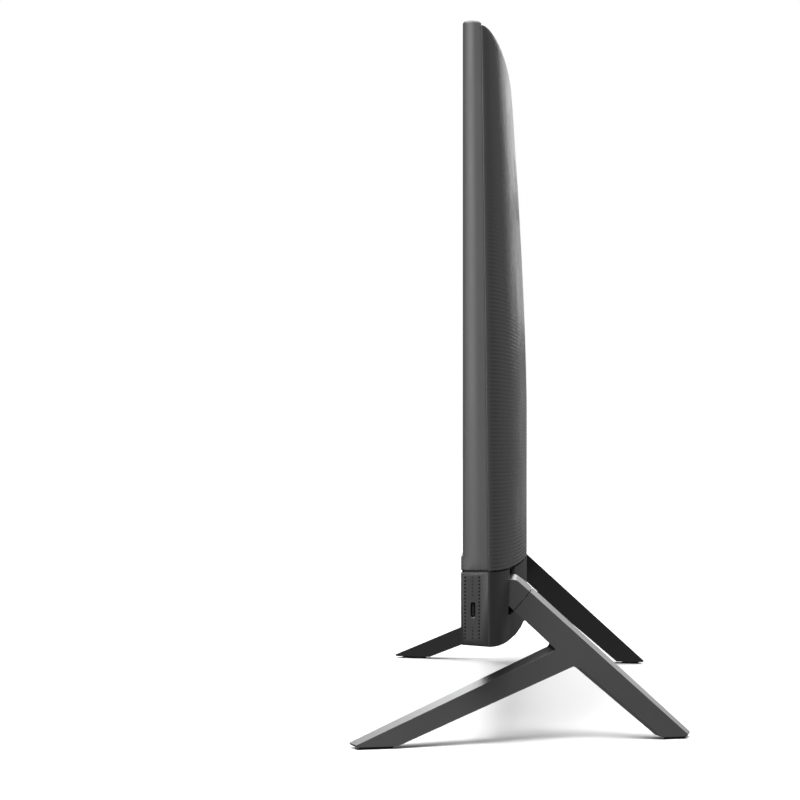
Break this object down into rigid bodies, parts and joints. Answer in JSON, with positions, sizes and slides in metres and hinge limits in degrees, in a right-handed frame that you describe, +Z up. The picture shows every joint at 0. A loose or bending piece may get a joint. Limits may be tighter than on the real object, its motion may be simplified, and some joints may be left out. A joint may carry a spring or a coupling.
{
  "type": "all-in-one desktop computer",
  "caption": "All-in-one desktop computer: a slim screen head with a curved back, tilting on two splayed A-shaped legs, with a pop-up camera and a rear port recess.",
  "frame": {"origin": "centre of the footprint, on the surface the feet stand on", "axes": "+X to the user's right along the screen's width, -Y the way the screen faces, +Z up"},
  "size_m": [0.5552, 0.203, 0.423],
  "materials": {
    "frame_plastic": "satin graphite paint, faintly crowned",
    "cover_plastic": "dark grey moulding with fine horizontal ribs",
    "bar_plastic": "dark grey satin moulding",
    "leg_metal": "satin graphite paint on die-cast metal",
    "rubber": "matte black",
    "screen_black": "anti-glare black screen, switched off",
    "bezel_black": "satin black",
    "backlight_tray": "matte sheet",
    "steel": "zinc-plated",
    "aluminium": "mill finish",
    "copper": "copper",
    "circuit_board": "green solder mask",
    "black_plastic": "matte black",
    "port_metal": "nickel-plated",
    "grille_fabric": "charcoal woven mesh",
    "lens_glass": "smoked window"
  },
  "bodies": {
    "stand": {"stand_crossbar": "steel", "left_stand_stub": "leg_metal", "left_leg": "leg_metal", "left_leg_stud": "steel", "left_front_foot_pad": "rubber", "left_rear_foot_pad": "rubber", "right_stand_stub": "leg_metal", "right_leg": "leg_metal", "right_leg_stud": "steel", "right_front_foot_pad": "rubber", "right_rear_foot_pad": "rubber"},
    "display_unit": {"middle_frame": "frame_plastic", "front_bezel": "bezel_black", "chin_strip": "frame_plastic", "lcd_panel": "screen_black", "backlight_unit": "backlight_tray", "chassis_plate": "steel", "back_cover": "cover_plastic", "speaker_bar_housing": "bar_plastic", "lower_rear_housing": "bar_plastic", "speaker_grille": "grille_fabric", "mainboard": "circuit_board", "cpu_cold_plate": "copper", "heat_pipe": "copper", "fin_stack": "aluminium", "fan_housing": "black_plastic", "memory_module_1": "circuit_board", "memory_module_2": "circuit_board", "solid_state_drive": "circuit_board", "wireless_card": "circuit_board", "hard_drive": "aluminium", "hard_drive_bracket": "steel", "usb_c_board": "circuit_board", "usb_c_port": "port_metal", "headset_jack": "black_plastic", "io_panel": "black_plastic", "io_board": "circuit_board", "power_inlet": "black_plastic", "ethernet_port": "port_metal", "hdmi_port": "port_metal", "usb_a_stack_1": "port_metal", "usb_a_stack_2": "port_metal", "webcam_guide": "black_plastic", "left_hinge_bracket": "steel", "left_speaker": "black_plastic", "left_hinge_screw_1": "steel", "left_hinge_screw_2": "steel", "right_hinge_bracket": "steel", "right_speaker": "black_plastic", "right_hinge_screw_1": "steel", "right_hinge_screw_2": "steel", "mainboard_screw_1": "steel", "mainboard_screw_2": "steel", "mainboard_screw_3": "steel", "mainboard_screw_4": "steel"},
    "webcam": {"webcam_housing": "black_plastic", "webcam_window": "lens_glass"},
    "fan": {"fan_impeller": "black_plastic"},
    "power_button": {"power_button": "black_plastic"}
  },
  "joints": [
    {"name": "display_tilt", "type": "hinge", "parent": "stand", "child": "display_unit", "pos_m": [0, -0.0145, 0.086], "axis": [-1, 0, 0], "range_deg": [-5, 25]},
    {"name": "webcam_lift", "type": "slide", "parent": "display_unit", "child": "webcam", "axis": [0, 0, 1], "range_m": [0, 0.024]},
    {"name": "fan_spin", "type": "hinge", "parent": "display_unit", "child": "fan", "pos_m": [-0.075, -0.0193, 0.291], "axis": [0, 1, 0], "continuous": true},
    {"name": "power_button_press", "type": "slide", "parent": "display_unit", "child": "power_button", "axis": [0, 0, 1], "range_m": [0, 0.0008], "stiffness_N_per_m": 800}
  ]
}
